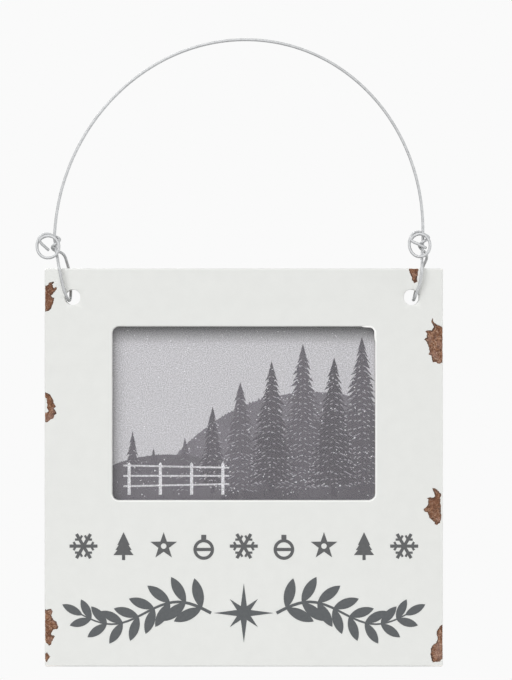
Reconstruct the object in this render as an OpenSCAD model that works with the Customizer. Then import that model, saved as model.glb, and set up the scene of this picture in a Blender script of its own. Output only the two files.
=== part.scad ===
// A small hanging photo frame: a painted wooden board with a window near its middle,
// hung on a bail of bent wire that is wrapped and curled above the board's two holes.
// The origin lies on the wire at the top of the bail. The board's front faces -Y.

/* [Board] */
// Width of the painted board
board_w = 114.3; // [104:0.1:150]
// Height of the painted board
board_h = 114.3; // [104:0.1:150]
// Thickness of the painted board
board_t = 6; // [5.5:0.1:8]
// Radius of the board's corners, seen from the front
corner_r = 0.6; // [0.5:0.1:3]
// Radius of the eased front edges
edge_r = 0.45; // [0.35:0.05:0.8]
// Thickness of the paint
coat_t = 0.25; // [0.15:0.05:0.3]

/* [Window] */
// Width of the opening that the print shows through
window_w = 75.5; // [66:0.1:75.5]
// Height of the opening that the print shows through
window_h = 49.9; // [40:0.1:49.9]
// Radius of the opening's corners
window_r = 1.9; // [1:0.1:4]
// From the board's top edge to the opening
window_drop = 16.7; // [14:0.1:19]

/* [Print and its pocket] */
// Width of the print, 3 inches
print_w = 76.2; // [75:0.1:78]
// Height of the print, 2 inches
print_h = 50.8; // [50:0.1:53]
// Thickness of the print's card
print_t = 0.3; // [0.2:0.05:0.5]
// Thickness of the ink fields on the print and of the ink on the board
ink_t = 0.08; // [0.05:0.01:0.12]
// Thickness of the clear cover in front of the print
cover_t = 0.8; // [0.5:0.1:1]
// Thickness of the hardboard behind the print
backing_t = 1.7; // [1.2:0.1:1.8]
// Play around the print in its pocket
print_play = 0.5; // [0.4:0.1:1]
// Play around the cover and the hardboard in the pocket
sheet_play = 0.2; // [0.1:0.05:0.3]
// Depth that the hardboard lies below the board's back
backing_sink = 0.1; // [0.05:0.05:0.3]
// Radius of the pocket's corners
pocket_r = 1.3; // [0.5:0.1:1.3]

/* [Turn buttons] */
// Length of a turn button
button_l = 14; // [12:0.5:16]
// Width of a turn button
button_w = 6.4; // [5.5:0.1:7]
// Thickness of a turn button
button_t = 0.8; // [0.6:0.1:1]
// From the board's middle line to a turn button's screw
button_x = 26; // [15:0.5:34]
// From the pocket's edge to a turn button's screw
button_reach = 5.2; // [4.5:0.1:6]
// Diameter of a screw's shank
screw_d = 2.2; // [1.8:0.1:2.4]
// Length of a screw's shank
screw_l = 5; // [4:0.1:5.2]
// Diameter of a screw's head
screw_head_d = 4.6; // [4:0.1:5]
// Height of a screw's head
screw_head_h = 1.5; // [1.2:0.1:1.8]
// Running clearance around a screw's shank
turn_play = 0.05; // [0.03:0.01:0.1]

/* [Wire holes] */
// Diameter of the two holes for the wire
hole_d = 4.5; // [4:0.1:5]
// From the board's left edge to the left hole
hole_in_left = 8; // [7:0.1:9]
// From the board's right edge to the right hole
hole_in_right = 9; // [7:0.1:9]
// From the board's top edge to both holes
hole_drop = 8.3; // [7.5:0.1:9]

/* [Wire] */
// Diameter of the wire
wire_d = 0.85; // [0.7:0.05:0.95]
// Height of the round bail above its two feet
arch_rise = 57.1; // [45:0.1:70]
// Sideways lean of the bail's top
arch_lean = 2; // [0:0.1:3]
// Height of the bail's feet above the board's top edge
foot_rise = 8.8; // [8.6:0.1:12]
// From the left hole out to the bail's left foot
foot_out_left = 5.4; // [4.4:0.1:6]
// From the right hole out to the bail's right foot
foot_out_right = 3.4; // [2.6:0.1:4]
// Radius of the ring that the left end is curled into
left_ring_r = 3.2; // [3:0.05:3.4]
// Radius of the ring that the right end is curled into, measured up and down
right_ring_r = 3.3; // [3.2:0.05:3.5]
// Width of the right ring as a share of its height
right_ring_squeeze = 0.88; // [0.86:0.01:1]
// How much wider each ring's first turn starts
ring_slack = 0.8; // [0.6:0.05:0.9]
// Play between the board and the legs of wire at its top edge
leg_play = 1.4; // [1.2:0.1:2]

/* [Printed line of small motifs] */
// Height of the small motifs
motif_h = 8; // [6:0.1:9]
// From one small motif to the next
motif_pitch = 11.5; // [10:0.1:12.6]
// Number of small motifs
motif_n = 9; // [5:2:9]
// From the board's bottom edge to the middle of the small motifs
motif_up = 34.6; // [33.5:0.1:36]
// Width of the motifs' thin strokes
stroke = 0.9; // [0.6:0.1:1.1]

/* [Printed sprigs] */
// Length of one sprig along its stem
sprig_l = 38; // [30:0.5:38]
// Length of a leaf
leaf_l = 8.2; // [5:0.1:9]
// Width of a leaf
leaf_w = 2.9; // [2:0.1:3.2]
// Number of leaf pairs on a sprig
leaf_n = 8; // [5:1:8]
// From the board's bottom edge to the middle of the sprigs
sprig_up = 15.4; // [14.5:0.1:17]
// Size of the star between the sprigs
star_d = 17; // [10:0.5:17]

/* [Chips in the paint] */
// How far a chip runs down the board's side
chip_side = 2; // [1:0.1:3]

/* [Hidden] */
$fn = 48;
past = 1;

paint_white = [0.905, 0.905, 0.895];
fibre_brown = [0.53, 0.40, 0.33];
ink_grey = [0.36, 0.36, 0.37];

board_top = -(arch_rise + foot_rise);
board_bottom = board_top - board_h;
board_mid = board_top - board_h / 2;
front_y = -board_t / 2;
back_y = board_t / 2;

window_mid = board_top - window_drop - window_h / 2;
pocket_w = print_w + 2 * print_play;
pocket_h = print_h + 2 * print_play;
pocket_d = cover_t + ink_t + print_t + backing_t + backing_sink;
cover_y = back_y - pocket_d;
insert_ink_y = cover_y + cover_t;
card_y = insert_ink_y + ink_t;
backing_y = card_y + print_t;

head_rise = button_t + 2 * turn_play;
button_z = pocket_h / 2 + button_reach;
button_places = [[-1, 1], [1, 1], [-1, -1], [1, -1]];

hole_z = board_top - hole_drop;
hole_left = [-board_w / 2 + hole_in_left, hole_z];
hole_right = [board_w / 2 - hole_in_right, hole_z];

// Each chip is an outline of [inward from its edge, down from the board's top edge].
left_chips = [
    [[0, 5.4], [0.9, 4.8], [1.4, 4.2], [2.4, 3.8], [2.7, 4.1], [2.3, 4.6], [2.6, 5.9], [3, 5.5],
     [3.6, 5.5], [3.3, 6.2], [1.9, 7.8], [2.1, 8.3], [2.9, 8.6], [2.4, 9.8], [1.8, 11.6], [1.2, 12.2],
     [0, 12.8]],
    [[0, 35.5], [1, 35.8], [1.9, 36.8], [2.7, 38.8], [3.2, 39.6], [2.6, 40.3], [3.5, 41.6], [2.7, 42.2],
     [2.6, 43], [1.7, 43.4], [0.7, 44.1], [0, 44.1]],
    [[0, 97.5], [0.5, 98], [1.7, 97.8], [2.3, 98.4], [2, 99.5], [2.1, 100.2], [2.6, 101], [3.3, 101.5],
     [3.9, 103], [3.5, 103.6], [2.5, 103.7], [1.9, 105.1], [2.9, 105.7], [2.4, 106.3], [1.9, 107.8],
     [1.3, 108.4], [0.5, 107.4], [0, 106.7]],
    [[0, 111.2], [0.7, 110.3], [1.5, 111.5], [0.6, 113], [0, 112.4]]
];
right_chips = [
    [[0, 17], [1.2, 16.4], [2.4, 15.7], [2.7, 15], [3.1, 14.3], [3.4, 15.4], [3, 15.8], [2.6, 17],
     [3.4, 17.8], [4.2, 17.8], [5.1, 18.1], [4.4, 18.7], [4.6, 19.7], [5.3, 20.4], [4.5, 21.3],
     [4.1, 23], [3.7, 23.9], [4.2, 24.7], [3.3, 25.1], [2.9, 27], [2, 26.9], [1.5, 27.3], [0.8, 27.3],
     [0, 26.7]],
    [[0, 101.9], [1, 102.8], [1.8, 104.1], [1.5, 105.5], [1.7, 107.1], [3.2, 108.6], [3.6, 110.4],
     [3.2, 112.5], [2.8, 113], [1, 112.9], [0.4, 111.9], [0, 111.6]]
];
right_inner_chip = [
    [3.2, 63], [2.3, 63], [1.1, 64], [0.6, 65.1], [0.9, 65.9], [0.6, 66.9], [0.6, 72], [0.9, 73],
    [1.8, 73.6], [2.3, 73.5], [2.3, 72.9], [3.8, 71.7], [4.3, 70], [5.1, 69.9], [5.5, 69.3],
    [4.5, 68.1], [4.2, 67.4], [4.2, 66.4], [4.8, 66], [3.8, 65.7], [2.8, 65.9], [2.3, 65.3], [2.6, 64.4]
];
// The one chip on the top edge is an outline of [down from its edge, along from the board's left edge].
top_chip = [
    [0, 107.4], [2.6, 107], [3.8, 106.9], [4.2, 106], [3.3, 105.4], [2.6, 105.5], [1.3, 104.8], [0, 104.4]
];

// Wire route
lay = wire_d + 0.1;
leg_y = board_t / 2 + wire_d / 2 + leg_play;
hole_run = (hole_d - wire_d) / 2;
tube_sides = 10;
tube_step = 0.85;
arch_steps = 60;
// Where the ring lies in depth, in lays behind the main wire, at an angle along its turns
ring_depths = [[60, 1.15], [170, 0.1], [265, -2.6], [345, -2.5], [400, -1.9], [440, -1.4], [500, -0.8]];
ring_first = 64;
left_ring_last = 482;
right_ring_last = 504;
ring_step = 22;
foot_left = [hole_left.x - foot_out_left, 0, board_top + foot_rise];
foot_right = [hole_right.x + foot_out_right, 0, board_top + foot_rise];

// Each wire end, from its cut tip to the bail's foot. The knot's points are [across from the hole, lays
// behind the main wire, above the board's top edge]. The legs' points are [across from the hole, share of
// the legs' depth, share of the way from the hole up to the top edge]. The bend's points are [across and
// up from the hole's centre in runs of its free radius, with the share of the legs' depth between them].
left_ring = [-7.1, 6.15];
left_tip = [[-6.9, -0.3, 5.2], [-8.3, -0.7, 6.45], [-9.2, -0.85, 7.3], [-9.6, -0.85, 7.85], [-9.4, -0.85, 8.45]];
left_wrap = [
    [-4.4, 0.95, 8.95], [-3.8, 0.1, 8.3], [-4.4, -0.9, 7.5], [-5.3, -1.1, 6.8], [-6.1, -0.2, 6.15],
    [-5.6, 0.9, 5.35], [-4.6, 1.2, 4.95], [-3.6, 1.6, 4.7], [-2.8, 2.2, 4]
];
left_back_leg = [[-2.1, 0.8, 1.25], [-1.65, 0.97, 1.05], [-1.3, 0.98, 0.75], [-1.05, 0.92, 0.45]];
left_bend = [
    [-0.5, 0.86, 0.9], [-0.52, 0.78, 0.15], [-0.57, 0.45, -0.35], [-0.65, 0, -0.5],
    [-0.76, -0.45, -0.35], [-0.92, -0.78, 0.12], [-1.2, -0.86, 0.85]
];
left_front_leg = [[-2.8, -0.92, 0.45], [-3.3, -0.98, 0.75], [-3.8, -0.96, 1.05], [-4.1, -0.73, 1.22]];
left_main = [[-4.35, -2.1, 2.8], [-4.6, -0.9, 3.8], [-4.85, -0.2, 5], [-5.08, 0, 6.7]];

right_ring = [2.45, 6.6];
right_tip = [
    [4.35, -2.1, 5.8], [3.2, -2.05, 6.35], [1.9, -1.9, 7], [0.9, -1.65, 7.45], [0.3, -1.4, 7.75],
    [0.1, -1.3, 7.95], [-0.03, -1.1, 8.22]
];
right_wrap = [
    [4.6, 0.9, 9.45], [5.15, 0.05, 8.85], [4.3, -0.9, 8.2], [3.2, -1.1, 7.55], [2.3, -0.2, 6.8],
    [2.7, 0.9, 5.9], [3.6, 1.2, 5.2], [4.4, 1.6, 4.3], [4.65, 2.3, 3.4]
];
right_back_leg = [[4.3, 0.8, 1.25], [3.6, 0.97, 1.05], [2.9, 0.98, 0.75], [2.1, 0.92, 0.45]];
right_bend = [
    [0.8, 0.86, 0.9], [0.58, 0.78, 0.18], [0.42, 0.45, -0.3], [0.38, 0, -0.42],
    [0.42, -0.45, -0.3], [0.56, -0.78, 0.18], [0.8, -0.86, 0.9]
];
right_front_leg = [[2.2, -0.92, 0.45], [2.65, -0.98, 0.75], [2.9, -0.95, 1.05], [2.95, -0.72, 1.18]];
right_main = [[3, -2.2, 2.3], [3.05, -1, 3.2], [3.15, -0.3, 4.3], [3.3, 0, 5.6], [3.4, 0, 7.2]];

function knot_point(hole, p) = [hole.x + p.x, p.y * lay, board_top + p.z];
function leg_point(hole, p) = [hole.x + p.x, p.y * leg_y, hole.y + p.z * hole_drop];
function bend_point(hole, p) = [hole.x + p.x * hole_run, p.y * leg_y, hole.y + p.z * hole_run];

function ring_turn(hole, c, r, squeeze, last) = [
    for (a = [last : -ring_step : ring_first]) let(reach = r + ring_slack * exp(-pow((a - 110) / 45, 2))) [
        hole.x + c.x + squeeze * reach * cos(a),
        lookup(a, ring_depths) * lay,
        board_top + c.y + reach * sin(a)
    ]
];

function wire_end(hole, ring, tip, wrap, back_leg, bend, front_leg, main) = concat(
    [for (p = tip) knot_point(hole, p)],
    ring,
    [for (p = wrap) knot_point(hole, p)],
    [for (p = back_leg) leg_point(hole, p)],
    [for (p = bend) bend_point(hole, p)],
    [for (p = front_leg) leg_point(hole, p)],
    [for (p = main) knot_point(hole, p)]
);

function arch_point(a) = let(mid = (foot_left + foot_right) / 2, half = (foot_right.x - foot_left.x) / 2)
    [mid.x - half * cos(a) + arch_lean * sin(a), 0, mid.z + arch_rise * sin(a)];

function reversed(list) = [for (i = [len(list) - 1 : -1 : 0]) list[i]];

left_end = wire_end(hole_left, ring_turn(hole_left, left_ring, left_ring_r, 1, left_ring_last), left_tip,
                    left_wrap, left_back_leg, left_bend, left_front_leg, left_main);
right_end = wire_end(hole_right,
                     ring_turn(hole_right, right_ring, right_ring_r, right_ring_squeeze, right_ring_last),
                     right_tip, right_wrap, right_back_leg, right_bend, right_front_leg, right_main);
arch = [for (i = [0 : arch_steps]) arch_point(180 * i / arch_steps)];

// A smooth curve through points that lie at uneven distances
function slope(p, i) =
    i == 0 ? (p[1] - p[0]) / norm(p[1] - p[0]) :
    i == len(p) - 1 ? (p[i] - p[i - 1]) / norm(p[i] - p[i - 1]) :
    let(a = p[i] - p[i - 1], b = p[i + 1] - p[i])
    (a * norm(b) / norm(a) + b * norm(a) / norm(b)) / (norm(a) + norm(b));
function between(p, i, t) = let(l = norm(p[i + 1] - p[i]))
    (2 * pow(t, 3) - 3 * pow(t, 2) + 1) * p[i] + (pow(t, 3) - 2 * pow(t, 2) + t) * l * slope(p, i)
    + (3 * pow(t, 2) - 2 * pow(t, 3)) * p[i + 1] + (pow(t, 3) - pow(t, 2)) * l * slope(p, i + 1);
function smooth(p, step) = [
    for (i = [0 : len(p) - 2])
        let(n = ceil(norm(p[i + 1] - p[i]) / step))
        for (k = [0 : n - 1]) between(p, i, k / n)
];

function unit(v) = v / norm(v);
function headings(c) = [for (i = [0 : len(c) - 1]) unit(c[min(i + 1, len(c) - 1)] - c[max(i - 1, 0)])];
// Each ring of the tube keeps the one before it from turning about the wire.
function sides(h) = [
    for (i = 0, s = unit(cross(h[0], [0, 1, 0])); i < len(h);
         i = i + 1, s = i < len(h) ? unit(s - h[i] * (s * h[i])) : s) s
];

module rounded(w, h, r) {
    square([w - 2 * r, h], center = true);
    square([w, h - 2 * r], center = true);
    for (x = [-1, 1], y = [-1, 1])
        translate([x * (w / 2 - r), y * (h / 2 - r)]) circle(r);
}

// A plate that stands in the XZ plane, with its middle at height z and its front at depth y
module plate(w, h, r, y, t, z) {
    translate([0, y + t, z]) rotate([90, 0, 0]) linear_extrude(t) rounded(w, h, r);
}

// A board's cross section, with its two front edges eased
module eased_section(w, t, r) {
    translate([-w / 2, -t / 2 + r]) square([w, t - r]);
    translate([-w / 2 + r, -t / 2]) square([w - 2 * r, r]);
    for (x = [-1, 1]) translate([x * (w / 2 - r), -t / 2 + r]) circle(r);
}

module eased_board(skin) {
    w = board_w - 2 * skin;
    h = board_h - 2 * skin;
    t = board_t - skin;
    translate([0, skin / 2, board_mid]) intersection() {
        rotate([90, 0, 0]) linear_extrude(t, center = true) rounded(w, h, corner_r - skin);
        linear_extrude(h, center = true) eased_section(w, t, edge_r - skin);
        rotate([0, 90, 0]) linear_extrude(w, center = true) eased_section(h, t, edge_r - skin);
    }
}

module window_cut(skin) {
    plate(window_w + 2 * skin, window_h + 2 * skin, window_r + skin, front_y - past, board_t + 2 * past, window_mid);
}

module pocket_cut() {
    plate(pocket_w, pocket_h, pocket_r, cover_y, pocket_d + past, window_mid);
}

module wire_hole_cuts(skin) {
    for (hole = [hole_left, hole_right]) translate([hole.x, 0, hole.y]) rotate([90, 0, 0])
        cylinder(d = hole_d + 2 * skin, h = board_t + 2 * past, center = true);
}

module at_button(place) {
    translate([place.x * button_x, back_y, window_mid + place.y * button_z]) rotate([-90, 0, 0]) children();
}

module frame_board() {
    color(fibre_brown) difference() {
        eased_board(coat_t);
        window_cut(coat_t);
        pocket_cut();
        wire_hole_cuts(coat_t);
        for (place = button_places)
            at_button(place) translate([0, 0, head_rise - screw_l - turn_play])
                cylinder(d = screw_d + 2 * turn_play, h = board_t);
    }
}

// An outline in [across, up from the board's top edge] is cut from the front to a depth.
module chip(outline, depth) {
    translate([0, front_y + depth, board_top]) rotate([90, 0, 0]) linear_extrude(depth + past) polygon(outline);
}

// An edge chip runs on past its edge, so that it opens the paint on the board's side too.
function run_on(outline) = concat([[-past, outline[0].y]], outline, [[-past, outline[len(outline) - 1].y]]);

module paint_coat() {
    color(paint_white) difference() {
        eased_board(0);
        difference() {
            eased_board(coat_t);
            window_cut(coat_t);
            wire_hole_cuts(coat_t);
        }
        window_cut(0);
        pocket_cut();
        wire_hole_cuts(0);
        for (outline = left_chips)
            chip([for (p = run_on(outline)) [p.x - board_w / 2, -p.y]], chip_side);
        for (outline = right_chips)
            chip([for (p = run_on(outline)) [board_w / 2 - p.x, -p.y]], chip_side);
        chip([for (p = run_on(top_chip)) [p.y - board_w / 2, -p.x]], chip_side);
        chip([for (p = right_inner_chip) [board_w / 2 - p.x, -p.y]], coat_t);
    }
}

// A printed field of ink on the board's face, its middle at a height above the bottom edge
module ink_on_face(up) {
    translate([0, front_y, board_bottom + up]) rotate([90, 0, 0]) linear_extrude(ink_t) children();
}

function star_points(n, outer, inner) =
    [for (i = [0 : 2 * n - 1]) let(r = i % 2 == 0 ? outer : inner, a = 90 + 180 * i / n) [r * cos(a), r * sin(a)]];

module star_motif() {
    difference() {
        polygon(star_points(5, motif_h / 2, motif_h / 5));
        circle(motif_h / 10);
    }
}

module flake_motif() {
    for (a = [0 : 60 : 300]) rotate(a) {
        translate([0, -stroke / 2]) square([motif_h / 2, stroke]);
        for (b = [-60, 60]) translate([motif_h * 0.27, 0]) rotate(b)
            translate([0, -stroke * 0.35]) square([motif_h * 0.17, stroke * 0.7]);
    }
}

module tree_motif() {
    tiers = 3;
    translate([-stroke / 2, -motif_h / 2]) square([stroke, motif_h / 4]);
    for (i = [0 : tiers - 1]) translate([0, motif_h * (0.18 * i - 0.32)])
        polygon([for (x = [-1, 1]) [x * motif_h * (0.36 - 0.07 * i), 0], [0, motif_h * 0.46]]);
}

module bauble_motif() {
    r = motif_h * 0.37;
    translate([0, -motif_h * 0.12]) difference() {
        circle(r);
        circle(r - stroke);
    }
    translate([0, -motif_h * 0.12]) square([2 * r - stroke, stroke], center = true);
    translate([-stroke * 0.8, r - stroke * 1.1]) square([stroke * 1.6, stroke * 1.4]);
}

module motif_row() {
    half = (motif_n - 1) / 2;
    color(ink_grey) ink_on_face(motif_up) for (i = [-half : half]) translate([i * motif_pitch, 0]) {
        if (abs(i) % 4 == 0) flake_motif();
        if (abs(i) % 4 == 1) bauble_motif();
        if (abs(i) % 4 == 2) star_motif();
        if (abs(i) % 4 == 3) tree_motif();
    }
}

// The stem's line waves once along the sprig and thins to its tip.
stem_steps = 24;
stem_wave = 3.2;
function stem_at(f) = [f * sprig_l, stem_wave * sin(360 * f)];
function stem_turn(f) = atan2(stem_wave * 2 * PI * cos(360 * f), sprig_l);
function stem_side(f, side) = stem_at(f) + side * stroke * (0.5 - 0.3 * f) * [-sin(stem_turn(f)), cos(stem_turn(f))];

module leaf(l, w) {
    r = (l * l + w * w) / (4 * w);
    translate([l / 2, 0]) intersection() {
        translate([0, r - w / 2]) circle(r);
        translate([0, w / 2 - r]) circle(r);
    }
}

module sprig() {
    polygon(concat([for (i = [0 : stem_steps]) stem_side(i / stem_steps, 1)],
                   [for (i = [stem_steps : -1 : 0]) stem_side(i / stem_steps, -1)]));
    translate(stem_at(0.97)) rotate(stem_turn(1)) leaf(leaf_l * 0.8, leaf_w * 0.8);
    for (i = [0 : leaf_n - 1]) {
        f = (i + 0.6) / (leaf_n + 0.4);
        for (side = [-1, 1]) translate(stem_at(f)) rotate(stem_turn(f) + side * (52 - 14 * f))
            leaf(leaf_l * (1.1 - 0.35 * f), leaf_w * (1.1 - 0.3 * f));
    }
}

module sprig_row() {
    color(ink_grey) ink_on_face(sprig_up) {
        polygon(star_points(4, star_d / 2, star_d / 12));
        rotate(45) polygon(star_points(4, star_d / 3, star_d / 12));
        for (side = [0, 1]) mirror([side, 0]) translate([star_d / 2 + stroke, 0]) sprig();
    }
}

module clear_cover() {
    color([0.86, 0.9, 0.92, 0.35])
        plate(pocket_w - 2 * sheet_play, pocket_h - 2 * sheet_play, pocket_r, cover_y, cover_t, window_mid);
}

// The print's picture: three hills and a wood of firs, in greys, with its middle at [0, 0]
hills = [[20, -46, 52], [-22, -55, 43], [44, -60, 62]];
firs = [
    [-32, -18, 13], [-26, -19, 9], [-17, -24, 17], [-9, -23, 25], [-1, -25, 34], [8, -23, 38],
    [17, -25, 45], [26, -24, 40], [34, -24, 46]
];

module on_card() {
    intersection() {
        square([print_w, print_h], center = true);
        children();
    }
}

module hill_shapes() {
    for (hill = hills) translate([hill.x, hill.y]) circle(hill.z);
}

module fir_shapes() {
    tiers = 4;
    for (fir = firs) translate([fir.x, fir.y]) {
        for (i = [0 : tiers - 1]) translate([0, fir.z * (0.1 + 0.19 * i)])
            polygon([for (x = [-1, 1]) [x * fir.z * (0.22 - 0.038 * i), 0], [0, fir.z * 0.33]]);
        translate([-fir.z * 0.03, 0]) square([fir.z * 0.06, fir.z * 0.15]);
    }
}

module printed() {
    translate([0, card_y, window_mid]) rotate([90, 0, 0]) linear_extrude(ink_t) on_card() children();
}

module insert_hills() {
    color([0.58, 0.58, 0.59]) printed() difference() {
        hill_shapes();
        fir_shapes();
    }
}

module insert_firs() {
    color([0.38, 0.38, 0.39]) printed() fir_shapes();
}

module insert_card() {
    color([0.76, 0.76, 0.77]) translate([-print_w / 2, card_y, window_mid - print_h / 2])
        cube([print_w, print_t, print_h]);
}

module backing_board() {
    color([0.42, 0.31, 0.24])
        plate(pocket_w - 2 * sheet_play, pocket_h - 2 * sheet_play, pocket_r, backing_y, backing_t, window_mid);
}

// A flat button with round ends turns on a screw near one end, and has a thumb ridge near the other.
module turn_button(place) {
    far = [0, place.y * (button_l - button_w)];
    ridge_d = button_t;
    color([0.72, 0.73, 0.74]) at_button(place) translate([0, 0, turn_play]) {
        difference() {
            linear_extrude(button_t) {
                circle(d = button_w);
                translate(far) circle(d = button_w);
                translate(far / 2) square([button_w, button_l - button_w], center = true);
            }
            translate([0, 0, -past]) cylinder(d = screw_d + 2 * turn_play, h = button_t + 2 * past);
        }
        translate([far.x, far.y, button_t]) rotate([0, 90, 0]) cylinder(d = ridge_d, h = button_w * 0.6, center = true);
    }
}

module screw(place) {
    dome_r = screw_head_d * 0.75;
    cross_w = screw_head_d * 0.16;
    cross_l = screw_head_d * 0.56;
    cross_d = screw_head_h * 0.6;
    color([0.78, 0.78, 0.76]) at_button(place) translate([0, 0, head_rise]) {
        difference() {
            rotate_extrude() intersection() {
                square([screw_head_d / 2, screw_head_h]);
                translate([0, screw_head_h - dome_r]) circle(dome_r);
            }
            for (a = [0, 90]) rotate(a)
                translate([-cross_l / 2, -cross_w / 2, screw_head_h - cross_d]) cube([cross_l, cross_w, screw_head_h]);
        }
        translate([0, 0, screw_d / 2 - screw_l]) cylinder(d = screw_d, h = screw_l - screw_d / 2);
        translate([0, 0, -screw_l]) cylinder(d1 = screw_d / 5, d2 = screw_d, h = screw_d / 2);
    }
}

module turn_button_1() { turn_button(button_places[0]); }
module turn_button_2() { turn_button(button_places[1]); }
module turn_button_3() { turn_button(button_places[2]); }
module turn_button_4() { turn_button(button_places[3]); }
module screw_1() { screw(button_places[0]); }
module screw_2() { screw(button_places[1]); }
module screw_3() { screw(button_places[2]); }
module screw_4() { screw(button_places[3]); }

module wire_hanger() {
    route = concat(smooth(concat(left_end, [arch[0]]), tube_step), arch,
                   reversed(smooth(concat(right_end, [arch[arch_steps]]), tube_step)));
    heading = headings(route);
    side = sides(heading);
    last = len(route) - 1;
    points = [for (i = [0 : last], k = [0 : tube_sides - 1]) let(a = 360 * k / tube_sides)
        route[i] + wire_d / 2 * (cos(a) * side[i] + sin(a) * cross(heading[i], side[i]))];
    walls = [for (i = [0 : last - 1], k = [0 : tube_sides - 1])
        let(a = i * tube_sides + k, b = i * tube_sides + (k + 1) % tube_sides)
        each [[a, a + tube_sides, b], [b, a + tube_sides, b + tube_sides]]];
    ends = [[for (k = [0 : tube_sides - 1]) k], [for (k = [tube_sides - 1 : -1 : 0]) last * tube_sides + k]];
    color([0.74, 0.75, 0.76]) polyhedron(points, concat(walls, ends));
}

frame_board();
paint_coat();
motif_row();
sprig_row();
clear_cover();
insert_hills();
insert_firs();
insert_card();
backing_board();
turn_button_1();
turn_button_2();
turn_button_3();
turn_button_4();
screw_1();
screw_2();
screw_3();
screw_4();
wire_hanger();
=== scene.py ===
import math
import random

import bmesh
import bpy
import numpy as np
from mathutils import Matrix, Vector, geometry, noise


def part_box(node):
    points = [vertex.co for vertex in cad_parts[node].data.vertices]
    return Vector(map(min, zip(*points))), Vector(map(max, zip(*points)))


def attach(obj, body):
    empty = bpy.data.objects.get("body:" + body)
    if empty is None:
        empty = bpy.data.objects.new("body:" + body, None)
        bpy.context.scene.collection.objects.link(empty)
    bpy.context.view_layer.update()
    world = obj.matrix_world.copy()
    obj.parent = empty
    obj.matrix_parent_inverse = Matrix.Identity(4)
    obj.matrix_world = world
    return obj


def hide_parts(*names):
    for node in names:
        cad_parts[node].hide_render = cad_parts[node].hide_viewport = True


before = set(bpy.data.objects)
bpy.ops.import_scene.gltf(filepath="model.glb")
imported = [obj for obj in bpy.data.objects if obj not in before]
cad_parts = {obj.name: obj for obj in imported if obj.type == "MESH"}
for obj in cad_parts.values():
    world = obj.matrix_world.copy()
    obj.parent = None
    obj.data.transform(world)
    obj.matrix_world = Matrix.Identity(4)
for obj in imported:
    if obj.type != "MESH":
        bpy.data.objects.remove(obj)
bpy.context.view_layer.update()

# Fibreboard core
# The body of the frame is one slab of brown fibreboard, with a window sawn out and a pocket milled
# into its back. It is bare behind and in the pocket, and painted everywhere else.
MM = 0.001
core_low, core_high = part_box("frame_board")
brown_dark, brown, brown_pale = (104, 70, 53), (134, 101, 83), (172, 135, 112)


def colour_of(red, green, blue):
    """An sRGB colour of 0 to 255 as Blender's linear colour"""
    shares = [part / 255 for part in (red, green, blue)]
    return [s / 12.92 if s <= 0.04045 else ((s + 0.055) / 1.055) ** 2.4 for s in shares] + [1]


def put_node(tree, kind, inputs=None, **settings):
    """A node with its settings and its inputs, each a plain value or another node's socket"""
    made = tree.nodes.new(kind)
    for key, value in settings.items():
        setattr(made, key, value)
    for socket, value in (inputs or {}).items():
        if isinstance(value, bpy.types.NodeSocket):
            tree.links.new(value, made.inputs[socket])
        else:
            made.inputs[socket].default_value = value
    return made


def new_finish(name, roughness, metallic=0.0):
    """A material with one shader, and that shader's node tree"""
    material = bpy.data.materials.new(name)
    material.use_nodes = True
    shader = material.node_tree.nodes["Principled BSDF"]
    shader.inputs["Roughness"].default_value = roughness
    shader.inputs["Metallic"].default_value = metallic
    return material, shader, material.node_tree


def grain(tree, scale, stretch=(1, 1, 1), turn=(0, 0, 0), detail=5.0, rough=0.55):
    """Noise over the object's own coordinates, scale in cells a metre"""
    place = put_node(tree, "ShaderNodeTexCoord").outputs["Object"]
    place = put_node(tree, "ShaderNodeMapping",
                     {"Vector": place, "Scale": stretch, "Rotation": turn}).outputs[0]
    return put_node(tree, "ShaderNodeTexNoise",
                    {"Vector": place, "Scale": scale, "Detail": detail, "Roughness": rough}).outputs["Fac"]


def tones(tree, factor, *stops):
    """A factor turned into colours, by stops of (place, sRGB colour)"""
    ramp = put_node(tree, "ShaderNodeValToRGB", {"Fac": factor})
    for i, (place, colour) in enumerate(stops):
        stop = ramp.color_ramp.elements[i] if i < 2 else ramp.color_ramp.elements.new(place)
        stop.position, stop.color = place, colour_of(*colour)
    return ramp.outputs["Color"]


def blended(tree, factor, first, second, kind="MIX"):
    """Two colours mixed by a factor. Inputs 6 and 7 and output 2 are the node's colour sockets."""
    return put_node(tree, "ShaderNodeMix", {0: factor, 6: first, 7: second},
                    data_type="RGBA", blend_type=kind).outputs[2]


def ranged(tree, value, low, high, to_low=0.0, to_high=1.0):
    """A value moved from one range to another and held inside it"""
    return put_node(tree, "ShaderNodeMapRange", {"Value": value, "From Min": low, "From Max": high,
                                                 "To Min": to_low, "To Max": to_high}).outputs[0]


def relief(tree, shader, height, depth):
    """Bumps where the height, from 0 to 1, is drawn out to a depth in metres"""
    bump = put_node(tree, "ShaderNodeBump", {"Height": height, "Distance": depth})
    tree.links.new(bump.outputs["Normal"], shader.inputs["Normal"])


def wear(piece, material):
    """The piece takes one material all over."""
    piece.data.materials.clear()
    piece.data.materials.append(material)


fibreboard, shader, tree = new_finish("bare_fibreboard", 0.85)
fibres = grain(tree, 900, stretch=(1, 1, 0.35), detail=8.0, rough=0.7)
specks = grain(tree, 4200, detail=3.0)
ground = tones(tree, fibres, (0.3, brown_dark), (0.5, brown), (0.72, brown_pale))
tree.links.new(blended(tree, ranged(tree, specks, 0.35, 0.7, 0.0, 0.5), ground, colour_of(*brown_dark)),
               shader.inputs["Base Color"])
relief(tree, shader, specks, 0.06 * MM)
wear(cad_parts["frame_board"], fibreboard)

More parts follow.
